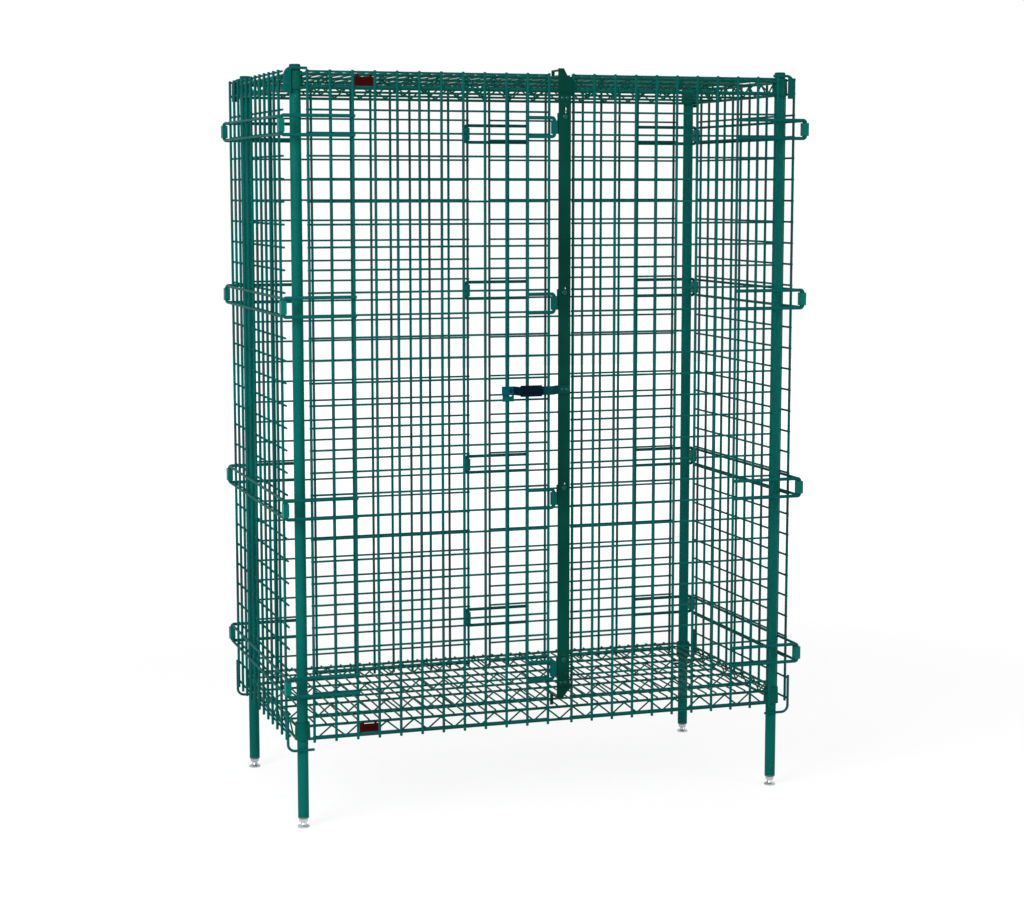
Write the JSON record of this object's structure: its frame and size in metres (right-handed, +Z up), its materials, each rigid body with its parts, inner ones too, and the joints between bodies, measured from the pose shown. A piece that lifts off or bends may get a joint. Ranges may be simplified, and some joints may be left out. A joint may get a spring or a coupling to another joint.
{
  "type": "wire security cage",
  "caption": "Free-standing wire mesh security cage on grooved posts, with wire shelves at top and bottom, hinged double doors and a sliding hooked lock bar.",
  "frame": {"origin": "on the floor, midway between the four posts", "axes": "+X to the right of somebody who faces the doors, +Y from the doors to the back, +Z up"},
  "size_m": [1.268, 0.6953, 1.725],
  "materials": {
    "green_epoxy": "glossy epoxy coating over zinc-plated steel",
    "clip_green": "moulded, satin",
    "lock_green": "satin epoxy coating",
    "cap_plastic": "moulded",
    "grey_plastic": "moulded",
    "zinc_steel": "bright zinc plating",
    "red_plate": "smooth",
    "grip_vinyl": "dipped vinyl"
  },
  "bodies": {
    "cage": {"post_front_left": "green_epoxy", "post_front_right": "green_epoxy", "post_rear_left": "green_epoxy", "post_rear_right": "green_epoxy", "cap_front_left": "cap_plastic", "cap_front_right": "cap_plastic", "cap_rear_left": "cap_plastic", "cap_rear_right": "cap_plastic", "insert_front_left": "grey_plastic", "insert_front_right": "grey_plastic", "insert_rear_left": "grey_plastic", "insert_rear_right": "grey_plastic", "shelf_top": "green_epoxy", "shelf_bottom": "green_epoxy", "sleeves_top": "grey_plastic", "sleeves_bottom": "grey_plastic", "shelf_plate_top": "red_plate", "shelf_plate_bottom": "red_plate", "side_panel_left": "green_epoxy", "side_panel_right": "green_epoxy", "side_loops_left": "green_epoxy", "side_loops_right": "green_epoxy", "side_hooks_left": "green_epoxy", "side_hooks_right": "green_epoxy", "back_panel_left": "green_epoxy", "back_panel_right": "green_epoxy", "back_loops_left": "green_epoxy", "back_loops_right": "green_epoxy", "back_centre_loops": "green_epoxy", "clips_front_left": "clip_green", "clips_front_right": "clip_green", "clips_rear_left": "clip_green", "clips_rear_right": "clip_green", "clips_rear_centre": "clip_green"},
    "left_door": {"door_left": "green_epoxy", "door_loops_left": "green_epoxy", "door_centre_loops": "green_epoxy", "bar_guides": "green_epoxy", "guide_screws": "zinc_steel", "padlock_plate": "green_epoxy"},
    "right_door": {"door_right": "green_epoxy", "door_loops_right": "green_epoxy"},
    "lock": {"lock_bar": "lock_green", "catch_top": "lock_green", "catch_bottom": "lock_green", "lock_handle": "lock_green", "handle_grip": "grip_vinyl", "lock_rivets": "zinc_steel"},
    "foot_front_left_screw": {"foot_front_left": "zinc_steel"},
    "foot_front_right_screw": {"foot_front_right": "zinc_steel"},
    "foot_rear_left_screw": {"foot_rear_left": "zinc_steel"},
    "foot_rear_right_screw": {"foot_rear_right": "zinc_steel"}
  },
  "joints": [
    {"name": "left_door_hinge", "type": "hinge", "parent": "cage", "child": "left_door", "pos_m": [-0.6275, -0.3319, 0.9645], "axis": [0, 0, 1], "range_deg": [-220, 0]},
    {"name": "right_door_hinge", "type": "hinge", "parent": "cage", "child": "right_door", "pos_m": [0.6275, -0.3319, 0.9645], "axis": [0, 0, 1], "range_deg": [0, 220]},
    {"name": "lock_slide", "type": "slide", "parent": "left_door", "child": "lock", "axis": [0, 0, -1], "range_m": [0, 0.009]},
    {"name": "foot_front_left_thread", "type": "slide", "parent": "cage", "child": "foot_front_left_screw", "axis": [0, 0, -1], "range_m": [0, 0.02]},
    {"name": "foot_front_right_thread", "type": "slide", "parent": "cage", "child": "foot_front_right_screw", "axis": [0, 0, -1], "range_m": [0, 0.02]},
    {"name": "foot_rear_left_thread", "type": "slide", "parent": "cage", "child": "foot_rear_left_screw", "axis": [0, 0, -1], "range_m": [0, 0.02]},
    {"name": "foot_rear_right_thread", "type": "slide", "parent": "cage", "child": "foot_rear_right_screw", "axis": [0, 0, -1], "range_m": [0, 0.02]}
  ]
}
